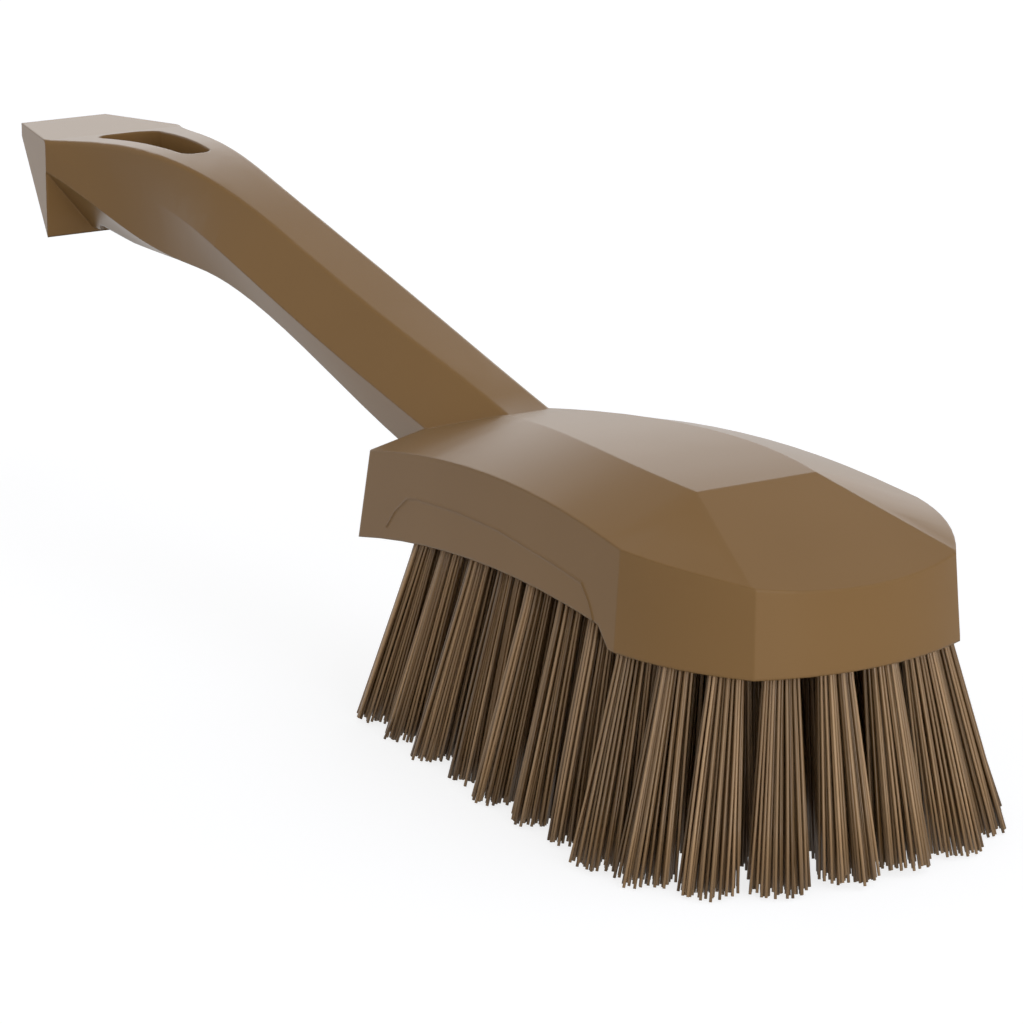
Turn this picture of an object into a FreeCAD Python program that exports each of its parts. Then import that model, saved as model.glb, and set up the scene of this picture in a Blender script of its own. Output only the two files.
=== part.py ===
# Short-handled scrub brush: one moulded head and handle, rammed tufts of bristle and their anchor plates.
# Millimetres. X runs from the tail of the handle to the nose of the head, Z is up, and the bristle
# tips stand on Z = 0. The origin lies on that plane, below the middle of the brush.
import FreeCAD, Part
import math
import os

import Sketcher

SIZES = {
    # where the head starts along X, measured from the middle of the brush
    "head_start": 16.0,
    # plan of the head
    "head_length": 116.8,
    "side_length": 89.2,
    "back_width": 46.0,
    "shoulder_width": 59.2,
    "nose_width": 39.0,
    "nose_bow": 4.2,
    "cheek_bow": 1.8,
    "wall_draft": 4.0,
    "back_lean": 3.6,
    # heights of the head above the bristle tips
    "heel_height": 28.1,
    "rim_drop": 3.5,
    "rim_wall": 3.0,
    "rim_length": 33.0,
    "face_height": 36.2,
    "face_crest": 66.0,
    "face_radius": 290.0,
    # roof of the head: a crowned ridge strip, two sloping sides and three front facets
    "crown_height": 55.2,
    "crown_crest": 64.8,
    "crown_radius": 280.0,
    "crown_width": 22.6,
    "eave_height": 50.15,
    "eave_crest": 58.8,
    "eave_radius": 256.0,
    "facet_start": 84.8,
    "nose_height": 46.4,
    "edge_round": 1.0,
    # handle: stations are distances behind the back of the head
    "neck_reach": 17.8,
    "handle_slope": 13.3,
    "neck_station": 7.2,
    "grip_station": 47.2,
    "bend_station": 79.2,
    "hole_station": 101.2,
    "waist_station": 118.2,
    "tail_station": 132.2,
    "handle_length": 154.2,
    "grip_top": 66.5,
    "bend_top": 73.7,
    "hole_top": 76.3,
    "waist_top": 75.8,
    "tail_top": 74.4,
    "neck_ridge": 9.2,
    "grip_ridge": 10.2,
    "bend_ridge": 11.4,
    "hole_ridge": 16.6,
    "waist_ridge": 21.8,
    "tail_width": 29.8,
    "grip_width": 22.6,
    "grip_shoulder": 8.2,
    "sole_width": 16.4,
    "sole_bevel": 1.0,
    "neck_depth": 16.8,
    "grip_depth": 14.8,
    "bend_depth": 16.0,
    "bend_width": 20.4,
    "hole_side": 17.8,
    "waist_side": 12.7,
    "tail_side": 6.1,
    "keel_width": 10.4,
    "tail_depth": 19.0,
    "tail_end_width": 18.4,
    "tail_end_height": 73.7,
    "tail_end_thickness": 2.6,
    # hanging hole in the tail
    "hang_setback": 24.6,
    "hang_length": 32.0,
    "hang_width": 14.0,
    "hang_front_width": 6.0,
    "hang_corner": 4.4,
    "hang_front_corner": 2.4,
    # bristles
    "tuft_inset": 5.2,
    "field_start": 18.5,
    "inner_pitch": 8.4,
    "hole_diameter": 5.0,
    "hole_depth": 9.0,
    "tuft_clearance": 0.1,
    "tip_diameter": 8.0,
    "splay_side": 9.0,
    "splay_end": 6.5,
    # anchor plates
    "anchor_thickness": 0.5,
    "anchor_height": 2.0,
    "anchor_clearance": 0.05,
    "fold_thickness": 0.9,
}

TUFT_SIDES = 10
SIDE_GAPS = 7
FRONT_GAPS = 9
INNER_TUFTS = 10
MIDDLE_TUFTS = 11
RING_STEPS = 4000
MARGIN = 10.0
SHEET = "Sizes"

doc = FreeCAD.newDocument("scrub_brush")
sheet = doc.addObject("Spreadsheet::Sheet", SHEET)
for row, (alias, number) in enumerate(SIZES.items(), start=1):
    sheet.set(f"A{row}", alias)
    sheet.set(f"B{row}", str(number))
    sheet.setAlias(f"B{row}", alias)
doc.recompute()


def size(text):
    """Turn a formula of size names into one that reads the sheet."""
    for alias in sorted(SIZES, key=len, reverse=True):
        text = text.replace(f"<{alias}>", f"{SHEET}.{alias}")
    return text


def value(text):
    """Number that a formula of size names gives now."""
    return float(sheet.evalExpression(size(text)))


def origin_plane(body, role):
    """One of a body's own origin planes."""
    return next(f for f in body.Origin.OriginFeatures if f.Role == role)


def new_sketch(body, name, role, offset=None):
    """Sketch on an origin plane of its body, moved along the plane's normal by a formula."""
    sketch = body.newObject("Sketcher::SketchObject", name)
    sketch.AttachmentSupport = [(origin_plane(body, role), "")]
    sketch.MapMode = "FlatFace"
    if offset:
        sketch.setExpression("AttachmentOffset.Base.z", size(offset))
    return sketch


def pin(sketch, geometry, end, across, up):
    """Place one end of a sketch line by two formulas; a leading minus measures the other way."""
    for kind, text in (("DistanceX", across), ("DistanceY", up)):
        amount = value(text.lstrip("-"))
        if text.startswith("-"):
            index = sketch.addConstraint(Sketcher.Constraint(kind, geometry, end, -1, 1, amount))
        else:
            index = sketch.addConstraint(Sketcher.Constraint(kind, -1, 1, geometry, end, amount))
        sketch.setExpression(f"Constraints[{index}]", size(text.lstrip("-")))


def signed(text):
    """Value of a formula with the leading minus of pin()."""
    return -value(text[1:]) if text.startswith("-") else value(text)


def outline(sketch, corners, arcs=None):
    """Closed outline, counter-clockwise through corners given as pairs of formulas.

    An edge named in arcs, by the index of its first corner, bows outwards on that radius.
    """
    arcs = arcs or {}
    points = [FreeCAD.Vector(signed(a), signed(b), 0) for a, b in corners]
    count = len(points)
    for i in range(count):
        start = points[i]
        end = points[(i + 1) % count]
        if i in arcs:
            chord = end - start
            radius = value(arcs[i])
            bow = radius - math.sqrt(radius ** 2 - (chord.Length / 2) ** 2)
            outward = FreeCAD.Vector(chord.y, -chord.x, 0).normalize()
            sketch.addGeometry(Part.Arc(start, (start + end) * 0.5 + outward * bow, end), False)
        else:
            sketch.addGeometry(Part.LineSegment(start, end), False)
    for i in range(count):
        sketch.addConstraint(Sketcher.Constraint("Coincident", i, 2, (i + 1) % count, 1))
    for i, (across, up) in enumerate(corners):
        pin(sketch, i, 1, across, up)
    for i, radius in arcs.items():
        index = sketch.addConstraint(Sketcher.Constraint("Radius", i, value(radius)))
        sketch.setExpression(f"Constraints[{index}]", size(radius))
    doc.recompute()
    return sketch


def mirrored(half):
    """Whole section from the corners of its +Y half, listed from bottom to top."""
    return half + [("-" + across, up) for across, up in reversed(half)]


def feature(body, kind, name, **settings):
    """Add a PartDesign feature to a body and set its properties."""
    made = body.newObject(kind, name)
    for key, setting in settings.items():
        setattr(made, key, setting)
    doc.recompute()
    return made


def arc_drop(radius, distance):
    """Formula for how far an arc has fallen at a distance from its crest."""
    return f"({radius} - sqrt({radius} ^ 2 - ({distance}) ^ 2))"


def crown(back):
    """Height of the ridge strip, at a distance in front of the head's back."""
    return f"(<crown_height> - {arc_drop('<crown_radius>', f'{back} - <crown_crest>')})"


def eave(back):
    """Height of the roof's edge above the side walls."""
    return f"(<eave_height> - {arc_drop('<eave_radius>', f'{back} - <eave_crest>')})"


def face(back):
    """Height of the arched underside that holds the tufts."""
    return f"(<face_height> - {arc_drop('<face_radius>', f'{back} - <face_crest>')})"


def side_half(back):
    """Half width of the head at its side walls."""
    slope = f"(<shoulder_width> - <back_width>) / <side_length> * ({back})"
    return f"((<back_width> + {slope}) / 2)"


def bow_radius(chord, bow):
    """Formula for the radius of an arc with that chord and bow."""
    return f"(({chord}) ^ 2 / 4 + {bow} ^ 2) / (2 * {bow})"


CHEEK_RUN = "(<head_length> - <nose_bow> - <side_length>)"
CHEEK_FALL = "((<shoulder_width> - <nose_width>) / 2)"
CHEEK_RADIUS = bow_radius(f"sqrt({CHEEK_RUN} ^ 2 + {CHEEK_FALL} ^ 2)", "<cheek_bow>")
NOSE_RADIUS = bow_radius("<nose_width>", "<nose_bow>")


def head_outline(sketch, start, inset):
    """Plan of the head from a start along X: straight sides, bowed cheeks and a bowed nose."""
    back = f"{side_half(f'{start} - <head_start>')} - {inset}"
    shoulder = f"<shoulder_width> / 2 - {inset}"
    cheek = f"<nose_width> / 2 - {inset} / 2"
    shoulder_x = f"(<head_start> + <side_length> - {inset} / 5)"
    cheek_x = f"(<head_start> + <head_length> - <nose_bow> - {inset})"
    corners = [(start, f"-({back})"), (shoulder_x, f"-({shoulder})"), (cheek_x, f"-({cheek})"),
               (cheek_x, f"({cheek})"), (shoulder_x, f"({shoulder})"), (start, f"({back})")]
    outline(sketch, corners, {1: CHEEK_RADIUS, 2: NOSE_RADIUS, 3: CHEEK_RADIUS})


# The head starts as a block on that plan, drafted upwards.
body = doc.addObject("PartDesign::Body", "Moulding")
plan = new_sketch(body, "HeadPlan", "XY_Plane", "<heel_height>")
head_outline(plan, "<head_start>", "0")
block = feature(body, "PartDesign::Pad", "HeadBlock", Profile=plan)
block.setExpression("Length", size(f"<crown_height> + {MARGIN} - <heel_height>"))
doc.recompute()
sides = enumerate(block.Shape.Faces, start=1)
walls = [f"Face{i}" for i, side in sides if abs(side.normalAt(0, 0).z) < 0.5]
draft = feature(body, "PartDesign::Draft", "WallDraft", Base=(block, walls), NeutralPlane=(plan, [""]))
draft.setExpression("Angle", size("<wall_draft>"))
doc.recompute()


# Underside: an arched face for the tufts, and in front a rim that hangs below it.
RIM_START = "(<head_start> + <head_length> - <rim_length>)"
RIM_HEIGHT = "(<face_height> - <rim_drop>)"
RIM_FACE = face("(<head_length> - <rim_length>)")
LOW = f"(<heel_height> - {MARGIN})"
FAR_BACK = "(<head_start> - <back_lean>)"
FAR_FRONT = f"(<head_start> + <head_length> + {MARGIN})"
arch = outline(new_sketch(body, "Arch", "XZ_Plane"), [
    (FAR_BACK, LOW),
    (FAR_FRONT, LOW),
    (FAR_FRONT, RIM_HEIGHT),
    (f"({RIM_START} + <rim_drop>)", RIM_HEIGHT),
    (RIM_START, RIM_FACE),
    (FAR_BACK, face("(-1 * <back_lean>)")),
], {4: "<face_radius>"})
arch_cut = feature(body, "PartDesign::Pocket", "TuftFace", Profile=arch, SideType="Symmetric")
arch_cut.setExpression("Length", size("2 * <shoulder_width>"))
doc.recompute()

recess = new_sketch(body, "RimRecess", "XY_Plane", RIM_HEIGHT)
head_outline(recess, RIM_START, "<rim_wall>")
rim_hollow = feature(body, "PartDesign::Pocket", "RimHollow", Profile=recess, Reversed=True)
rim_hollow.setExpression("Length", size(f"{RIM_FACE} - {RIM_HEIGHT}"))
doc.recompute()


def roof_section(name, back, ridge, ridge_height, edge, edge_height):
    """Everything above the roof at one distance in front of the head's back."""
    fall = f"{MARGIN} * ({ridge_height} - {edge_height}) / ({edge} - {ridge})"
    half = [
        (f"({edge} + {MARGIN})", f"(<crown_height> + 2 * {MARGIN})"),
        (f"({edge} + {MARGIN})", f"({edge_height} - {fall})"),
        (ridge, ridge_height),
    ]
    return outline(new_sketch(body, name, "YZ_Plane", f"<head_start> + {back}"), mirrored(half))


# The ridge strip starts as narrow as the handle's top face and widens to its full width.
RIDGE_SPREAD = ((-MARGIN, 0.0), ("<neck_reach>", 0.0), ("<crown_crest> * 0.6", 0.55),
                ("<crown_crest> * 0.9", 1.0), ("<facet_start>", 1.0))
roof = []
for i, (back, spread) in enumerate(RIDGE_SPREAD):
    ridge = f"((<neck_ridge> + {spread} * (<crown_width> - <neck_ridge>)) / 2)"
    roof.append(roof_section(f"Roof{i}", f"({back})", ridge, crown(back), side_half(back), eave(back)))
doc.recompute()
feature(body, "PartDesign::SubtractiveLoft", "RoofSlopes", Profile=roof[0], Sections=roof[1:])

# Three front facets fall from the end of the ridge strip to the top edge of the nose and cheeks.
FRONT = "(<head_length> + <nose_bow>)"
REACH = f"({FRONT} - <facet_start>) / (<head_length> - <nose_bow> - <facet_start>)"
front_ridge = f"((<crown_width> + (<nose_width> - <crown_width>) * {REACH}) / 2)"
front_height = f"({crown('<facet_start>')} - ({crown('<facet_start>')} - <nose_height>) * {REACH})"
front_edge = f"({front_ridge} + <shoulder_width> / 2 - <crown_width> / 2)"
front_fall = f"({front_height} - 0.5)"
brow = roof_section("Brow", "<facet_start>", "(<crown_width> / 2)", crown("<facet_start>"),
                    side_half("<facet_start>"), eave("<facet_start>"))
snout = roof_section("Snout", FRONT, front_ridge, front_height, front_edge, front_fall)
doc.recompute()
feature(body, "PartDesign::SubtractiveLoft", "FrontFacets", Profile=brow, Sections=[snout], Ruled=True)


def handle_section(name, behind, half):
    """Section of the handle at a distance behind the head's back, from its +Y corners."""
    return outline(new_sketch(body, name, "YZ_Plane", f"<head_start> - {behind}"), mirrored(half))


def grip_half(top, ridge, width, depth):
    """Corners of a grip section: top edge, side ridge, sole edge and bevelled sole."""
    return [
        (f"{ridge} / 2", top),
        (f"{width} / 2", f"({top} - <grip_shoulder>)"),
        ("<sole_width> / 2", f"({top} - {depth})"),
        ("(<sole_width> / 2 - 2 * <sole_bevel>)", f"({top} - {depth} - <sole_bevel>)"),
    ]


def tail_half(top, width, side):
    """Corners of a tail section: top edge, flank, and the keel that runs on from the sole."""
    return [
        (f"{width} / 2", top),
        (f"{width} / 2", f"({top} - {side} / 2)"),
        (f"{width} / 2", f"({top} - {side})"),
        ("<keel_width> / 2", f"(<tail_top> - <tail_depth> + <sole_bevel>)"),
    ]


# The back wall leans forward over its height.
LEAN_TOP = f"(<crown_height> + 2 * {MARGIN})"
LEAN_REACH = f"(<back_lean> * ({LEAN_TOP} - <heel_height>) / (<eave_height> - <heel_height>))"
lean = outline(new_sketch(body, "Lean", "XZ_Plane"), [
    (f"(<head_start> - {MARGIN})", "<heel_height>"),
    ("<head_start>", "<heel_height>"),
    (f"(<head_start> + {LEAN_REACH})", LEAN_TOP),
    (f"(<head_start> - {MARGIN})", LEAN_TOP),
])
feature(body, "PartDesign::Pocket", "BackLean", Profile=lean, Type="ThroughAll", SideType="Symmetric")

# Handle: one loft from inside the head, up the straight grip and round into the flared tail.
NECK_TOP = crown("<neck_reach>")
ROOT = f"(<neck_reach> + {MARGIN})"
root_top = f"({NECK_TOP} - {MARGIN} * tan(<handle_slope>))"
neck_top = f"({NECK_TOP} + (<neck_reach> + <neck_station>) * tan(<handle_slope>))"
root_half = grip_half(root_top, "<neck_ridge>", "<grip_width>", "<grip_depth> * 0.8")
neck_half = grip_half(neck_top, "<neck_ridge>", "<grip_width>", "<neck_depth>")
middle_half = grip_half("<grip_top>", "<grip_ridge>", "<grip_width>", "<grip_depth>")
bend_half = grip_half("<bend_top>", "<bend_ridge>", "<bend_width>", "<bend_depth>")
hole_half = tail_half("<hole_top>", "<hole_ridge>", "<hole_side>")
waist_half = tail_half("<waist_top>", "<waist_ridge>", "<waist_side>")
flare_half = tail_half("<tail_top>", "<tail_width>", "<tail_side>")
handle = [
    handle_section("HandleRoot", f"-1 * {ROOT}", root_half),
    handle_section("HandleNeck", "<neck_station>", neck_half),
    handle_section("HandleGrip", "<grip_station>", middle_half),
    handle_section("HandleBend", "<bend_station>", bend_half),
    handle_section("HandleHole", "<hole_station>", hole_half),
    handle_section("HandleWaist", "<waist_station>", waist_half),
    handle_section("HandleTail", "<tail_station>", flare_half),
]
doc.recompute()
feature(body, "PartDesign::AdditiveLoft", "Handle", Profile=handle[0], Sections=handle[1:])

# Hook plate: the tail drops to a straight lip and slopes back up to a thin rear edge.
lip = [("<tail_width> / 2", "<tail_top>"), ("<tail_width> / 2", "(<tail_top> - <tail_depth>)")]
heel = [("<tail_end_width> / 2", "<tail_end_height>"),
        ("<tail_end_width> / 2", "(<tail_end_height> - <tail_end_thickness>)")]
hook_lip = handle_section("HookLip", "<tail_station>", lip)
hook_end = handle_section("HookEnd", "<handle_length>", heel)
doc.recompute()
feature(body, "PartDesign::AdditiveLoft", "Hook", Profile=hook_lip, Sections=[hook_end], Ruled=True)

# Hanging hole: a wedge with rounded corners, straight down through the tail.
HANG_REAR = "(<handle_length> - <head_start> - <hang_setback>)"
HANG_FRONT = "(<handle_length> - <head_start> - <hang_setback> - <hang_length>)"
TAPER = "((<hang_width> - <hang_front_width>) / 2 / <hang_length>)"
SLANT = f"sqrt(1 + {TAPER} ^ 2)"
REAR_CUT = f"(<hang_corner> / ({SLANT} - {TAPER}))"
FRONT_CUT = f"(<hang_front_corner> / ({SLANT} + {TAPER}))"
rear_x = f"-({HANG_REAR} - {REAR_CUT} / {SLANT})"
rear_y = f"(<hang_width> / 2 - {REAR_CUT} * {TAPER} / {SLANT})"
front_x = f"-({HANG_FRONT} + {FRONT_CUT} / {SLANT})"
front_y = f"(<hang_front_width> / 2 + {FRONT_CUT} * {TAPER} / {SLANT})"
rear_flat = f"(<hang_width> / 2 - {REAR_CUT})"
front_flat = f"(<hang_front_width> / 2 - {FRONT_CUT})"
hang = outline(doc.addObject("Sketcher::SketchObject", "HangOutline"), [
    (rear_x, f"-{rear_y}"), (front_x, f"-{front_y}"),
    (f"-{HANG_FRONT}", f"-{front_flat}"), (f"-{HANG_FRONT}", front_flat),
    (front_x, front_y), (rear_x, rear_y),
    (f"-{HANG_REAR}", rear_flat), (f"-{HANG_REAR}", f"-{rear_flat}"),
], {1: "<hang_front_corner>", 3: "<hang_front_corner>", 5: "<hang_corner>", 7: "<hang_corner>"})
hang_tool = doc.addObject("Part::Extrusion", "HangHole")
hang_tool.Base = hang
hang_tool.DirMode = "Normal"
hang_tool.Solid = True
hang_tool.setExpression("LengthFwd", size(f"<hole_top> + {MARGIN}"))


def face_normal(surface, point):
    """Outward normal of a face at a point on it."""
    return surface.normalAt(*surface.Surface.parameter(point))


def edges_where(shape, tests):
    """Numbers of the edges that a test picks by middle point, length and lower and upper face normal."""
    numbers = []
    for i, edge in enumerate(shape.Edges, start=1):
        middle = edge.valueAt((edge.FirstParameter + edge.LastParameter) / 2)
        sides = shape.ancestorsOfType(edge, Part.Face)
        if len(sides) == 2:
            low, high = sorted((face_normal(side, middle) for side in sides), key=lambda n: n.z)
            if any(test(middle, edge.Length, low, high) for test in tests):
                numbers.append(i)
    return numbers


def softened(name, base, amount, *tests):
    """The same piece with the picked edges rounded."""
    made = doc.addObject("Part::Fillet", name)
    made.Base = base
    made.Edges = [(i, value(amount), value(amount)) for i in edges_where(base.Shape, tests)]
    doc.recompute()
    return made


def steep(normal):
    """True for the normal of a wall."""
    return abs(normal.z) < 0.3


def is_grip(p, length, low, high):
    """Edge of the handle's top face."""
    return p.x < head_x and length > handle_edge and high.z > 0.9


def is_back(p, length, low, high):
    """Upright corner at the back of the head."""
    return abs(p.x - head_x) < 3 and abs(p.y) > 20 and steep(low) and steep(high)


head_x = value("<head_start>")
handle_edge = value("<tail_station>") / 2
rounded = softened("RoundedEdges", body, "<edge_round>", is_grip, is_back)

# Places of the tufts: a ring inside the head's edge, closer round the front than along the sides,
# two staggered inner rows and a middle row.
field_x = value("<head_start> + <field_start>")
track = plan.Shape.Wires[0].makeOffset2D(-value("<tuft_inset>"))
ahead = Part.makeBox(200, 200, 200, FreeCAD.Vector(field_x, -100, -100))
ring = Part.Wire(Part.sortEdges(track.common(ahead).Edges)[0])
fine = ring.discretize(Number=RING_STEPS + 1)
side_run = value("<side_length> - <field_start>")
front_run = ring.Length - 2 * side_run
stops = [side_run * i / SIDE_GAPS for i in range(SIDE_GAPS)]
stops += [side_run + front_run * i / FRONT_GAPS for i in range(FRONT_GAPS + 1)]
stops += [ring.Length - side_run * i / SIDE_GAPS for i in reversed(range(SIDE_GAPS))]
spots = [fine[round(RING_STEPS * stop / ring.Length)] for stop in stops]
places = [(spot.x, spot.y) for spot in spots]
pitch = value("<inner_pitch>")
for i in range(INNER_TUFTS):
    x = field_x + (i + 0.5) * pitch
    y = (value(side_half(f"({x - value('<head_start>')})")) - value("<tuft_inset>")) / 2
    places += [(x, -y), (x, y)]
places += [(field_x + i * pitch, 0.0) for i in range(MIDDLE_TUFTS)]

middle_x = (min(x for x, y in places) + max(x for x, y in places)) / 2
half_length = max(x for x, y in places) - middle_x
half_width = max(y for x, y in places)
rim_x = value(RIM_START)


def seat(x, y):
    """Placement of a tuft: its mouth on the underside, its local -Z towards its splayed tip."""
    back = min(x, rim_x) - value("<head_start>")
    root = FreeCAD.Vector(x, y, value(face(f"({back})")))
    lean = FreeCAD.Vector(value("<splay_end>") * (x - middle_x) / half_length,
                          value("<splay_side>") * y / half_width, -root.z)
    return FreeCAD.Placement(root, FreeCAD.Rotation(FreeCAD.Vector(0, 0, -1), lean))


def place_of(source, name, placement):
    """The same piece again, at another placement."""
    copy = doc.addObject("Part::Compound", name)
    copy.Links = [source]
    copy.Placement = placement
    return copy


# One hole, one tuft and one anchor plate, made once at the origin. Hole and tuft have the same flats.
bore = doc.addObject("Part::Prism", "TuftHole")
bore.Polygon = TUFT_SIDES
bore.setExpression("Circumradius", size("<hole_diameter> / 2"))
bore.setExpression("Height", size("<hole_depth> + <hole_diameter>"))
bore.setExpression("Placement.Base.z", size("-1 * <hole_diameter>"))


def flat_faced(levels):
    """Solid with plane faces through polygons given as pairs of radius and height."""
    angles = [2 * math.pi * i / TUFT_SIDES for i in range(TUFT_SIDES)]
    rings = [[FreeCAD.Vector(r * math.cos(a), r * math.sin(a), z) for a in angles] for r, z in levels]
    outlines = [rings[0], rings[-1]]
    for lower, upper in zip(rings, rings[1:]):
        for i in range(TUFT_SIDES):
            outlines.append([lower[i - 1], lower[i], upper[i], upper[i - 1]])
    faces = [Part.Face(Part.makePolygon(points + points[:1])) for points in outlines]
    return Part.Solid(Part.Shell(faces))


# A tuft is as thick as its hole up to the mouth and flares from there to well past its tip.
root_radius = value("<hole_diameter> / 2 - <tuft_clearance>")
flare = (value("<tip_diameter> / 2") - root_radius) / value("<face_height>")
reach = value("<face_height>") + MARGIN
bundle = doc.addObject("Part::Feature", "TuftBundle")
bundle.Shape = flat_faced([(root_radius + flare * reach, -reach), (root_radius, 0.0),
                           (root_radius, value("<hole_depth>"))])


def slab(name, length, thickness, height, level):
    """Box centred on the tuft's axis, from a level up."""
    box = doc.addObject("Part::Box", name)
    box.setExpression("Length", size(length))
    box.setExpression("Width", size(thickness))
    box.setExpression("Height", size(height))
    box.setExpression("Placement.Base.x", size(f"-1 * ({length}) / 2"))
    box.setExpression("Placement.Base.y", size(f"-1 * ({thickness}) / 2"))
    box.setExpression("Placement.Base.z", size(level))
    return box


PLATE_FOOT = "(<hole_depth> - <fold_thickness> - <anchor_height>)"
plate = slab("AnchorPlate", "<hole_diameter> - 2 * <anchor_clearance>", "<anchor_thickness>",
             "<anchor_height>", PLATE_FOOT)
slit = slab("AnchorSlit", "2 * <hole_diameter>", "<anchor_thickness> + 2 * <anchor_clearance>",
            "<anchor_height> + 2 * <anchor_clearance>", f"{PLATE_FOOT} - <anchor_clearance>")
blank = doc.addObject("Part::Cut", "TuftBlank")
blank.Base = bundle
blank.Tool = slit

# The tips are trimmed flat, all on one plane.
keep = doc.addObject("Part::Box", "AboveTrim")
keep.Length = 400
keep.Width = 200
keep.Height = 200
keep.Placement.Base = FreeCAD.Vector(-200, -100, 0)

nodes = {}
bores = []
plates = []
for number, (x, y) in enumerate(places, start=1):
    placement = seat(x, y)
    bores.append(place_of(bore, f"Hole{number}", placement))
    plates.append(place_of(plate, f"Plate{number}", placement))
    tuft = doc.addObject("Part::Common", f"Tuft{number}")
    tuft.Base = place_of(blank, f"Bundle{number}", placement)
    tuft.Tool = keep
    nodes[f"tuft_{number:02d}"] = tuft
anchors = doc.addObject("Part::Compound", "Anchors")
anchors.Links = plates
nodes["tuft_anchors"] = anchors
drill = doc.addObject("Part::Compound", "Drill")
drill.Links = bores + [hang_tool]
drilled = doc.addObject("Part::Cut", "DrilledMoulding")
drilled.Base = rounded
drilled.Tool = drill
nodes["brush_body"] = drilled
doc.recompute()

for item in doc.Objects:
    if "Invalid" in item.State or "Error" in item.State:
        raise RuntimeError(f"{item.Name} is {item.State}")
os.makedirs("parts", exist_ok=True)
for node, item in nodes.items():
    item.Label = node
    if item.Shape.isNull() or not item.Shape.isValid():
        raise RuntimeError(f"{node} has no valid shape")
    item.Shape.exportStep(f"parts/{node}.step")
print(len(nodes), "nodes, moulding", round(drilled.Shape.Volume), "mm3")
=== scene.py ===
# %% [markdown]
# # Dressing a moulded scrub brush
# The brush is one injection-moulded block, with a faceted head and a handle that ends in a hook, and
# tufts of stiff plastic bristle that are rammed into holes in its underside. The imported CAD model
# is loaded first, and what follows is laid on it, so that the looks and the model share one frame.

# %% Load the frame
import math
import random

import bmesh
import bpy
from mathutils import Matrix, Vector
from mathutils.bvhtree import BVHTree


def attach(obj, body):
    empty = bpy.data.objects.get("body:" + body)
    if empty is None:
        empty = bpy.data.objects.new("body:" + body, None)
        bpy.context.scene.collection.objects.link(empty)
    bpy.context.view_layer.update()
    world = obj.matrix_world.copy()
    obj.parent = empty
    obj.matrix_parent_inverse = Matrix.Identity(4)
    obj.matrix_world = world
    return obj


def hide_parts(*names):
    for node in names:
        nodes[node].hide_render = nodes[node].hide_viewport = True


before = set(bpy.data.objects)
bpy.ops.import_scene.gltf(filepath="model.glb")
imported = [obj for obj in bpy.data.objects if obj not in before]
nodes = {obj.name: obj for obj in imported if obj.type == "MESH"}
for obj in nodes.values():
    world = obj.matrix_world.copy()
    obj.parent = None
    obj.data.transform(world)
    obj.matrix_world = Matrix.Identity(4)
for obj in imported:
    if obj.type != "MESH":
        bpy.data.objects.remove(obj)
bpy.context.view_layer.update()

MM = 0.001

# %% [markdown]
# ## Camera
# A long lens some 0.8 m away looks down on the nose and the near side of the head, so the handle
# runs away to the upper left. A camera could track a target, but here it is turned about X by its
# height above the horizon and about Z by its bearing, which are two angles that are easy to read.

# %% Camera
CAMERA_PLACE = Vector((654.5, -390.3, 238.6)) * MM
CAMERA_BEARING = 58.0
CAMERA_HEIGHT = 15.61
CAMERA_SHIFT = -0.0026
LENS = 158.64
SENSOR = 36.0

camera = bpy.data.objects.new("camera", bpy.data.cameras.new("camera"))
bpy.context.scene.collection.objects.link(camera)
camera.data.lens = LENS
camera.data.sensor_width = SENSOR
camera.data.shift_x = CAMERA_SHIFT
camera.location = CAMERA_PLACE
camera.rotation_euler = (math.radians(90.0 - CAMERA_HEIGHT), 0.0, math.radians(CAMERA_BEARING))
bpy.context.scene.camera = camera
bpy.context.scene.view_settings.view_transform = "Standard"
print("camera", round(CAMERA_PLACE.length, 3), "m from the origin")

# %% [markdown]
# ## Floor
# The brush stands on its bristle tips on a white sweep. More light would whiten the floor but also
# wash out the brush. Instead the floor glows a little, and only for the rays that show it: those
# from the camera, from glossy surfaces and through clear ones. The rest of its colour comes from
# the lamps, so it keeps a soft shadow. To the light that bounces back to the brush it is plain grey.

# %% Material of the floor
WHITE = (1.0, 1.0, 1.0, 1.0)
FLOOR_GLOW = 0.80
FLOOR_SHADE = (0.285, 0.30, 0.34, 1.0)
FLOOR_BOUNCE = (0.22, 0.22, 0.22, 1.0)


def new_node(tree, kind, **settings):
    """Add a shader node and set its inputs and properties by name."""
    node = tree.nodes.new(kind)
    for name, value in settings.items():
        if hasattr(node, name):
            setattr(node, name, value)
        else:
            node.inputs[name.replace("_", " ")].default_value = value
    return node


def seen_rays(tree):
    """Output that is 1 for the rays that show the backdrop: camera, glossy and transmission rays."""
    path = new_node(tree, "ShaderNodeLightPath")
    seen = path.outputs["Is Camera Ray"]
    for kind in ("Is Glossy Ray", "Is Transmission Ray"):
        either = new_node(tree, "ShaderNodeMath", operation="MAXIMUM")
        tree.links.new(seen, either.inputs[0])
        tree.links.new(path.outputs[kind], either.inputs[1])
        seen = either.outputs[0]
    return seen


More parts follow.
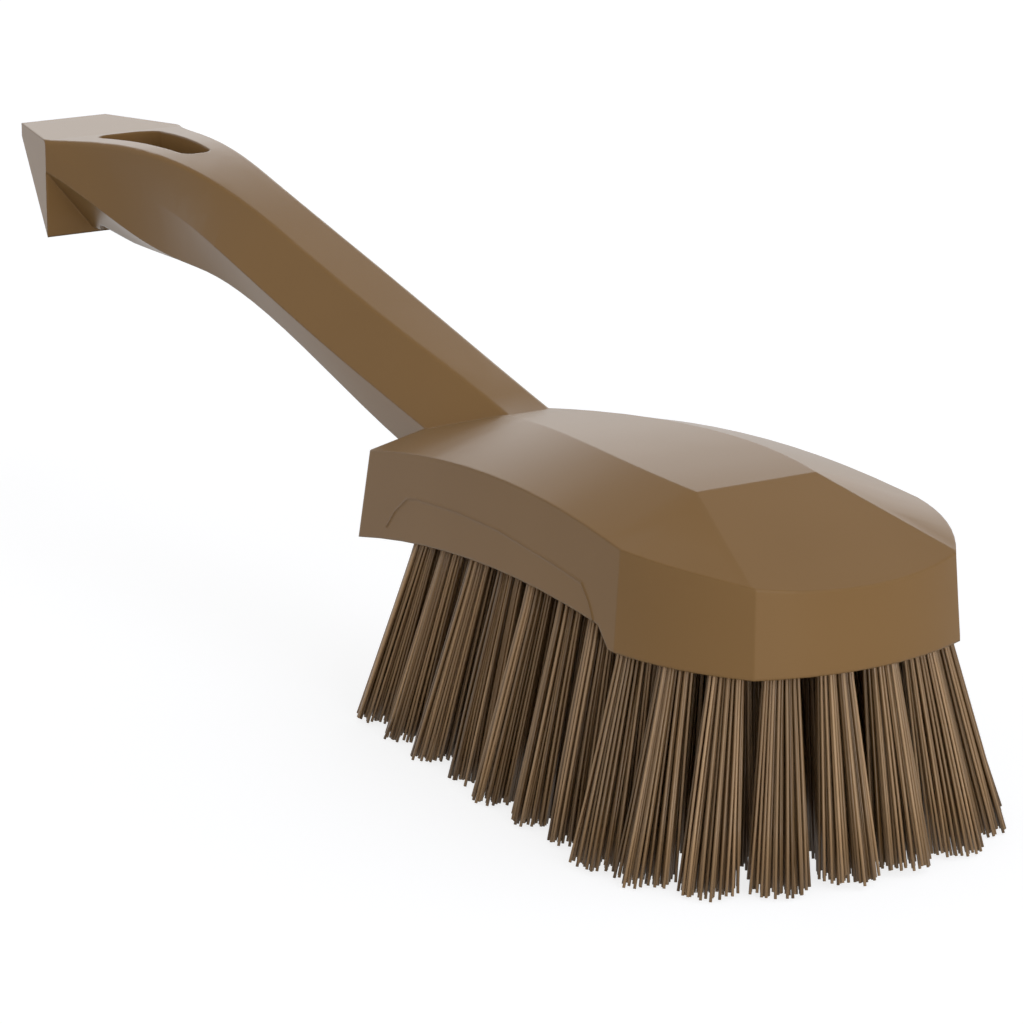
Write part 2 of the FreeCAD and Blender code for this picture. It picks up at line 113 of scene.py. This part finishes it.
def floor_material():
    """White where it is seen, with part of the colour left to the lamps for the shadow."""
    material = bpy.data.materials.new("white_sweep")
    material.use_nodes = True
    tree = material.node_tree
    tree.nodes.clear()
    bounce = new_node(tree, "ShaderNodeBsdfDiffuse", Color=FLOOR_BOUNCE)
    shade = new_node(tree, "ShaderNodeBsdfDiffuse", Color=FLOOR_SHADE)
    glow = new_node(tree, "ShaderNodeEmission", Color=WHITE, Strength=FLOOR_GLOW)
    both = new_node(tree, "ShaderNodeAddShader")
    pick = new_node(tree, "ShaderNodeMixShader")
    out = new_node(tree, "ShaderNodeOutputMaterial")
    tree.links.new(shade.outputs[0], both.inputs[0])
    tree.links.new(glow.outputs[0], both.inputs[1])
    tree.links.new(seen_rays(tree), pick.inputs[0])
    tree.links.new(bounce.outputs[0], pick.inputs[1])
    tree.links.new(both.outputs[0], pick.inputs[2])
    tree.links.new(pick.outputs[0], out.inputs["Surface"])
    return material


SWEEP = floor_material()
print("material", SWEEP.name, "with", len(SWEEP.node_tree.nodes), "nodes")

# %% Floor
FLOOR_HALF = 5.0


def make_object(name, bm, material):
    """Turn a bmesh into an object at the origin."""
    mesh = bpy.data.meshes.new(name)
    bm.to_mesh(mesh)
    bm.free()
    mesh.materials.append(material)
    obj = bpy.data.objects.new(name, mesh)
    bpy.context.scene.collection.objects.link(obj)
    return obj


bm = bmesh.new()
bmesh.ops.create_grid(bm, x_segments=1, y_segments=1, size=FLOOR_HALF)
floor = make_object("floor", bm, SWEEP)
print("floor of", tuple(floor.dimensions))

# %% [markdown]
# ## Light
# A studio is bright all round and dim overhead, which keeps the top of the brush from going flat.
# One even grey world would be simpler, but here the world grades with the height of a ray's
# direction: the rays that show the backdrop meet plain white, and the fill light is a little warm.

# %% World
FILL_HORIZON = 1.15
SEEN_HORIZON = 1.0
OVERHEAD = 0.3
DIM_FROM = 0.25
DIM_TO = 0.75
FILL_COLOUR = (1.0, 0.955, 0.85, 1.0)


def graded_backdrop(tree, height, horizon, colour):
    """Background that is bright at the horizon and dims towards the ceiling."""
    dimming = new_node(tree, "ShaderNodeMapRange", From_Min=DIM_FROM, From_Max=DIM_TO,
                       To_Min=horizon, To_Max=OVERHEAD)
    backdrop = new_node(tree, "ShaderNodeBackground", Color=colour)
    tree.links.new(height, dimming.inputs["Value"])
    tree.links.new(dimming.outputs["Result"], backdrop.inputs["Strength"])
    return backdrop.outputs[0]


def studio_world():
    """World with a warm fill light, and a white backdrop for the rays that show it."""
    world = bpy.data.worlds.new("studio")
    world.use_nodes = True
    tree = world.node_tree
    tree.nodes.clear()
    direction = new_node(tree, "ShaderNodeTexCoord")
    split = new_node(tree, "ShaderNodeSeparateXYZ")
    pick = new_node(tree, "ShaderNodeMixShader")
    out = new_node(tree, "ShaderNodeOutputWorld")
    height = split.outputs["Z"]
    tree.links.new(direction.outputs["Generated"], split.inputs[0])
    tree.links.new(seen_rays(tree), pick.inputs[0])
    tree.links.new(graded_backdrop(tree, height, FILL_HORIZON, FILL_COLOUR), pick.inputs[1])
    tree.links.new(graded_backdrop(tree, height, SEEN_HORIZON, WHITE), pick.inputs[2])
    tree.links.new(pick.outputs[0], out.inputs["Surface"])
    return world


bpy.context.scene.world = studio_world()
print("world", bpy.context.scene.world.name)

# %% [markdown]
# Three soft boxes finish the light. One from above shapes the facets and casts the shadow, one in
# front reaches the nose, and one low behind the brush lays a sheen on the faces that look up.
# Area lamps are used because their size makes the shadows soft, as a photographer's boxes do.

# %% Lamps
HEAD_MIDDLE = Vector((0.03, 0.0, 0.05))


def soft_box(name, place, width, height, power):
    """Rectangular soft light aimed at the middle of the head."""
    lamp = bpy.data.lights.new(name, "AREA")
    lamp.shape = "RECTANGLE"
    lamp.size = width
    lamp.size_y = height
    lamp.energy = power
    obj = bpy.data.objects.new(name, lamp)
    bpy.context.scene.collection.objects.link(obj)
    obj.location = place
    aim = HEAD_MIDDLE - obj.location
    obj.rotation_euler = aim.to_track_quat("-Z", "Y").to_euler()
    return obj


soft_box("top_light", place=(0.4, 0.35, 1.1), width=0.9, height=0.9, power=3.2)
soft_box("front_panel", place=(1.0, -0.2, 0.17), width=0.5, height=0.3, power=3.0)
soft_box("back_panel", place=(-1.0, 0.6, 0.42), width=1.3, height=0.6, power=2.2)

# %% [markdown]
# ## Plastic finishes
# The block is brown polypropylene with a semi-gloss skin, and its tone drifts faintly where the melt
# cooled unevenly. The bristles are satin filaments of the same brown, and their gloss drifts. Both
# need a slow random value, which could be a noise node in each material. It is made once, as a node
# group with its own scale and limits, and each material adds its own shader.


# %% Tone drift shared by both finishes
def tone_drift_group():
    """Group: a soft random value between two limits, on the piece's own coordinates."""
    group = bpy.data.node_groups.new("tone_drift", "ShaderNodeTree")
    for name, default in (("Scale", 60.0), ("Low", 0.0), ("High", 1.0)):
        socket = group.interface.new_socket(name, in_out="INPUT", socket_type="NodeSocketFloat")
        socket.default_value = default
    group.interface.new_socket("Value", in_out="OUTPUT", socket_type="NodeSocketFloat")
    entry = group.nodes.new("NodeGroupInput")
    leave = group.nodes.new("NodeGroupOutput")
    place = group.nodes.new("ShaderNodeTexCoord")
    noise = new_node(group, "ShaderNodeTexNoise", Detail=1.0, Roughness=0.5)
    spread = new_node(group, "ShaderNodeMapRange", From_Min=0.1, From_Max=0.9)
    group.links.new(place.outputs["Object"], noise.inputs["Vector"])
    group.links.new(entry.outputs["Scale"], noise.inputs["Scale"])
    group.links.new(noise.outputs["Fac"], spread.inputs["Value"])
    group.links.new(entry.outputs["Low"], spread.inputs["To Min"])
    group.links.new(entry.outputs["High"], spread.inputs["To Max"])
    group.links.new(spread.outputs["Result"], leave.inputs["Value"])
    return group


TONE_DRIFT = tone_drift_group()
print("group", TONE_DRIFT.name, "with", len(TONE_DRIFT.nodes), "nodes")

# %% [markdown]
# The edges of a moulding are never knife-sharp. Cutting a bevel along every edge of this block would
# break its long thin facets, so the Bevel node turns the normals near an edge, which shades it as
# a small round and leaves the mesh alone.

# %% Body plastic
POLYMER_IOR = 1.49
BODY_BROWN = (0.228, 0.132, 0.054, 1.0)
BODY_BROWN_PALE = (0.245, 0.144, 0.061, 1.0)
BODY_SPECULAR = 0.12
BODY_ROUGHNESS = 0.29
BODY_DRIFT = 45.0
EDGE_ROUND = 0.6 * MM


def drift(tree, scale, low, high):
    """Place the tone drift group with its own scale and limits."""
    node = tree.nodes.new("ShaderNodeGroup")
    node.node_tree = TONE_DRIFT
    node.inputs["Scale"].default_value = scale
    node.inputs["Low"].default_value = low
    node.inputs["High"].default_value = high
    return node


def plastic(name, specular):
    """Material with a plain Principled shader, and its tree."""
    material = bpy.data.materials.new(name)
    material.use_nodes = True
    shader = material.node_tree.nodes["Principled BSDF"]
    shader.inputs["IOR"].default_value = POLYMER_IOR
    shader.inputs["Specular IOR Level"].default_value = specular
    return material, material.node_tree, shader


def body_material():
    """Semi-gloss brown moulding with a slow drift of tone and softened edges."""
    material, tree, shader = plastic("brown_moulding", BODY_SPECULAR)
    tone = drift(tree, BODY_DRIFT, 0.0, 1.0)
    mix = new_node(tree, "ShaderNodeMix", data_type="RGBA")
    mix.inputs["A"].default_value = BODY_BROWN
    mix.inputs["B"].default_value = BODY_BROWN_PALE
    rounded = new_node(tree, "ShaderNodeBevel", samples=8, Radius=EDGE_ROUND)
    shader.inputs["Roughness"].default_value = BODY_ROUGHNESS
    tree.links.new(tone.outputs["Value"], mix.inputs["Factor"])
    tree.links.new(mix.outputs["Result"], shader.inputs["Base Color"])
    tree.links.new(rounded.outputs["Normal"], shader.inputs["Normal"])
    return material


BODY = body_material()
print("material", BODY.name)

# %% [markdown]
# ## The moulded block
# Head and handle are one moulding, all flat facets and long soft rounds. The CAD block already has
# that shape, so the scene dresses a copy of it and models nothing anew. A CAD mesh is loose
# triangles: the copy's doubles are merged and flat areas dissolved into single faces. Ridges between
# the flats stay crisp, and the narrow strips of a rounded edge are shaded as one round.

# %% Merge and shade the block
EDGE_TURN = math.radians(28.0)
RIDGE_TURN = math.radians(5.0)
FLAT_TURN = math.radians(0.05)
SLIVER = 0.45 * MM
MERGE = 0.002 * MM


def merged_copy(node):
    """bmesh of a CAD node with its loose triangles joined and its flats made whole."""
    bm = bmesh.new()
    bm.from_mesh(node.data)
    bmesh.ops.remove_doubles(bm, verts=bm.verts, dist=MERGE)
    bmesh.ops.dissolve_limit(bm, angle_limit=FLAT_TURN, verts=bm.verts, edges=bm.edges)
    return bm


def is_sliver(face):
    """True for the narrow faces of a round."""
    return face.calc_area() < SLIVER * max(e.calc_length() for e in face.edges)


def shade_by_turn(bm):
    """Smooth faces, split along the ridges between the facets and at sharp edges."""
    for face in bm.faces:
        face.smooth = True
    for edge in bm.edges:
        turn = edge.calc_face_angle(0.0) if edge.is_manifold else math.pi
        ridge = turn > RIDGE_TURN and not any(is_sliver(f) for f in edge.link_faces)
        edge.smooth = not ridge and turn < EDGE_TURN


shell = merged_copy(nodes["brush_body"])
shade_by_turn(shell)
print("moulded block:", len(shell.faces), "faces")

# %% [markdown]
# Where two parts of the mould met, a fine witness line runs along each side of the head. It could be
# a bump in the material, but a real ridge is also in the mesh. Its course is given by a few points
# in the side view, in millimetres. A strip of faces is laid along them: rays from the side find the
# wall, and the middle of the strip is raised.

# %% Witness line of the mould
WITNESS = ((27.0, 33.0), (30.0, 36.5), (34.0, 39.5), (37.4, 40.3), (52.0, 41.7), (66.0, 42.2),
           (84.0, 41.5), (94.0, 40.8), (96.5, 38.6), (97.8, 36.8), (98.3, 36.0))
WITNESS_HALF = 0.20 * MM
WITNESS_RISE = 0.20 * MM
RAY_START = 0.2


def witness_line(bm, wall, side):
    """Lay a strip of faces along one side of the head, with its middle raised to a low ridge."""
    course = [Vector((x, 0.0, z)) * MM for x, z in WITNESS]
    last = len(course) - 1
    inward = Vector((0.0, -side, 0.0))
    strip = bmesh.ops.create_grid(bm, x_segments=last, y_segments=2, size=1.0)["verts"]
    for vert in strip:
        i = round((vert.co.x + 1.0) / 2.0 * last)
        width = vert.co.y
        ahead = (course[min(i + 1, last)] - course[max(i - 1, 0)]).normalized()
        place, normal, _, _ = wall.ray_cast(course[i] - inward * RAY_START, inward)
        across = normal.cross(ahead).normalized() * WITNESS_HALF
        vert.co = place + across * width + normal * WITNESS_RISE * (1.0 - abs(width))
    return len(strip)


wall = BVHTree.FromBMesh(shell)
for side in (-1.0, 1.0):
    print("witness line of", witness_line(shell, wall, side), "vertices on side", side)

# %% Show the block
block = make_object("moulded_block", shell, BODY)
weigh = block.modifiers.new("weigh normals", "WEIGHTED_NORMAL")
weigh.mode = "FACE_AREA"
weigh.weight = 100
weigh.keep_sharp = True
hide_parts("brush_body")
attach(block, "root")
print("block of", len(block.data.polygons), "faces")

# %% [markdown]
# ## Bristle plastic
# Each filament is a drawn strand with its own slight tone. A noise in space would colour strands that
# touch alike, so the tone is stored on the mesh as an attribute, strand by strand, and the material
# mixes a dark and a pale brown with it.

# %% Bristle material
BRISTLE_DARK = (0.12, 0.064, 0.021, 1.0)
BRISTLE_PALE = (0.40, 0.255, 0.137, 1.0)
BRISTLE_SPECULAR = 0.5
BRISTLE_DRIFT = 300.0
BRISTLE_SMOOTH = 0.32
BRISTLE_ROUGH = 0.5


def bristle_material():
    """Satin brown strands, each with its own tone."""
    material, tree, shader = plastic("brown_bristle", BRISTLE_SPECULAR)
    strand = new_node(tree, "ShaderNodeAttribute", attribute_name="tone")
    mix = new_node(tree, "ShaderNodeMix", data_type="RGBA")
    mix.inputs["A"].default_value = BRISTLE_DARK
    mix.inputs["B"].default_value = BRISTLE_PALE
    gloss = drift(tree, BRISTLE_DRIFT, BRISTLE_SMOOTH, BRISTLE_ROUGH)
    tree.links.new(strand.outputs["Fac"], mix.inputs["Factor"])
    tree.links.new(mix.outputs["Result"], shader.inputs["Base Color"])
    tree.links.new(gloss.outputs["Value"], shader.inputs["Roughness"])
    return material


BRISTLE = bristle_material()
print("material", BRISTLE.name)

# %% [markdown]
# ## Axes of the tufts
# A tuft is a bundle of strands, folded over an anchor plate at the bottom of its hole. The CAD tufts
# say where the holes are, so their axes are read from them and not written down again. Each CAD tuft
# has a ring of corners at its fold, deep in the hole, and another at its trimmed tip.

# %% Axis of a CAD tuft
HOLE_DEPTH = 9.0 * MM
TIP_BAND = 0.05 * MM
FOLD_BAND = 0.6 * MM


def middle(points):
    """Mean of some points."""
    return sum(points, Vector()) / len(points)


def tuft_axis(node):
    """Mouth and tip of a CAD tuft, from the ring of its fold and the ring of its trimmed tip."""
    points = [Vector(c) for c in {tuple(round(n, 6) for n in v.co) for v in node.data.vertices}]
    low = min(p.z for p in points)
    tip = middle([p for p in points if p.z < low + TIP_BAND])
    along = (max(points, key=lambda p: p.z) - tip).normalized()
    for _ in range(3):
        far = max((p - tip).dot(along) for p in points)
        fold = middle([p for p in points if (p - tip).dot(along) > far - FOLD_BAND])
        along = (fold - tip).normalized()
    return fold - along * HOLE_DEPTH, tip


tufts = sorted(name for name in nodes if name.startswith("tuft_") and name != "tuft_anchors")
axes = {name: tuft_axis(nodes[name]) for name in tufts}
print("axes:", len(axes), "first mouth at", [round(n, 4) for n in axes[tufts[0]][0]])

# %% [markdown]
# ## Tufts
# The strands leave the hole tightly packed and spread towards their trimmed tips. A hair system would
# be quick to set up but leaves no mesh to export. Here the strands are copies of one five-sided rod,
# a cone cut across three times so that it can be bent along its tuft's axis.

# %% One straight strand
STRAND_SIDES = 5
STRAND_CUTS = 3
STRAND_RADIUS = 0.275 * MM
STRAND_TAPER = 0.92


def straight_strand():
    """Mesh of a rod of unit length that stands on the origin."""
    bm = bmesh.new()
    bmesh.ops.create_cone(bm, cap_ends=True, segments=STRAND_SIDES, radius1=STRAND_RADIUS,
                          radius2=STRAND_RADIUS * STRAND_TAPER, depth=1.0)
    uprights = [e for e in bm.edges if abs(e.verts[0].co.z - e.verts[1].co.z) > 0.5]
    bmesh.ops.subdivide_edges(bm, edges=uprights, cuts=STRAND_CUTS)
    bmesh.ops.translate(bm, verts=bm.verts, vec=(0.0, 0.0, 0.5))
    for face in bm.faces:
        face.smooth = len(face.verts) == 4
    mesh = bpy.data.meshes.new("strand")
    bm.to_mesh(mesh)
    bm.free()
    return mesh


STRAND = straight_strand()
print("strand:", len(STRAND.vertices), "vertices,", len(STRAND.polygons), "faces")

# %% [markdown]
# A strand runs from a little way down the hole to just short of the tip of its tuft. The tufts were
# trimmed flat after they were set, so a strand spreads level, and all of them end in one plane even
# where a tuft leans. The tufts around the nose fan out, so their tips are wider. Each strand also
# bows and sways a little, and a few stray ones sway more.

# %% Path of a strand
ROOT_START = -0.14
ROOT_RADIUS = 2.5 * MM
SIDE_TIP_RADIUS = 4.0 * MM
FRONT_TIP_RADIUS = 4.9 * MM
FRONT_START = 95.0 * MM
BOW = 0.08 * MM
SWAY = 0.14 * MM
STRAY_SWAY = 0.8 * MM
STRAY_SHARE = 0.03
dice = random.Random(31)


def level_scatter(spread):
    """Random level step."""
    return Vector((dice.gauss(0.0, spread), dice.gauss(0.0, spread), 0.0))


def strand_path(mouth, tip, across, lean, reach):
    """Function from 0..1 along one strand to its place."""
    axis = tip - mouth
    tip_radius = FRONT_TIP_RADIUS if mouth.x > FRONT_START else SIDE_TIP_RADIUS
    bow = level_scatter(BOW)
    sway = level_scatter(STRAY_SWAY if dice.random() < STRAY_SHARE else SWAY)

    def place(t):
        run = ROOT_START + t * (reach - ROOT_START)
        out = max(run, 0.0)
        spread = across * (ROOT_RADIUS + (tip_radius - ROOT_RADIUS) * out)
        return mouth + axis * run + spread + bow * math.sin(math.pi * out) + sway * out * out + lean * out

    return place


first_mouth, first_tip = axes[tufts[0]]
print("first tuft stands out", round((first_tip - first_mouth).length / MM, 1), "mm")

# %% Strands of a tuft
STRANDS = 92
GOLDEN_TURN = math.pi * (3.0 - math.sqrt(5.0))
TURN_JITTER = 0.2
TUFT_LEAN = 0.5 * MM
TRIM = 0.998
TUFT_TRIM_SPREAD = 0.010
STRAND_TRIM_SPREAD = 0.012
TONE_MEAN = 0.45
TONE_SPREAD = 0.28
BEND_STEP = 0.02


def bend_strand(bm, first, place):
    """Lay the vertices of a new strand along its path."""
    bm.verts.ensure_lookup_table()
    for vert in bm.verts[first:]:
        t = vert.co.z
        ahead = (place(t + BEND_STEP) - place(t - BEND_STEP)).normalized()
        turn = ahead.to_track_quat("Z", "X")
        vert.co = place(t) + turn @ Vector((vert.co.x, vert.co.y, 0.0))


def make_tuft(node):
    """A CAD tuft, by name, as a bundle of bent strands."""
    mouth, tip = axes[node]
    bm = bmesh.new()
    tone = bm.verts.layers.float.new("tone")
    lean = level_scatter(TUFT_LEAN)
    trim = TRIM - abs(dice.gauss(0.0, TUFT_TRIM_SPREAD))
    for i in range(STRANDS):
        radius = math.sqrt((i + 0.5) / STRANDS)
        angle = i * GOLDEN_TURN + dice.uniform(-TURN_JITTER, TURN_JITTER)
        across = Vector((math.cos(angle), math.sin(angle), 0.0)) * radius
        reach = trim - abs(dice.gauss(0.0, STRAND_TRIM_SPREAD))
        first = len(bm.verts)
        bm.from_mesh(STRAND)
        bend_strand(bm, first, strand_path(mouth, tip, across, lean, reach))
        shade = min(1.0, max(0.0, dice.gauss(TONE_MEAN, TONE_SPREAD)))
        for vert in bm.verts[first:]:
            vert[tone] = shade
    return make_object("bristle_" + node, bm, BRISTLE)


for name in tufts:
    tuft = make_tuft(name)
    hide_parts(name)
    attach(tuft, "root")
print("tufts:", len(tufts), "strands:", len(tufts) * STRANDS)

# %% [markdown]
# ## Anchor plates
# The small plates that hold the tufts are cut from plain stainless strip. They sit deep in the holes,
# so the CAD shapes stay as they are and only get their metal.

# %% Anchor steel
STEEL_GREY = (0.56, 0.56, 0.55, 1.0)
STEEL_ROUGHNESS = 0.32


def anchor_material():
    """Plain bright strip."""
    material = bpy.data.materials.new("flat_wire")
    material.use_nodes = True
    shader = material.node_tree.nodes["Principled BSDF"]
    shader.inputs["Base Color"].default_value = STEEL_GREY
    shader.inputs["Metallic"].default_value = 1.0
    shader.inputs["Roughness"].default_value = STEEL_ROUGHNESS
    return material


anchors = nodes["tuft_anchors"]
anchors.data.materials.clear()
anchors.data.materials.append(anchor_material())
print("anchor plates:", len(anchors.data.polygons), "faces")
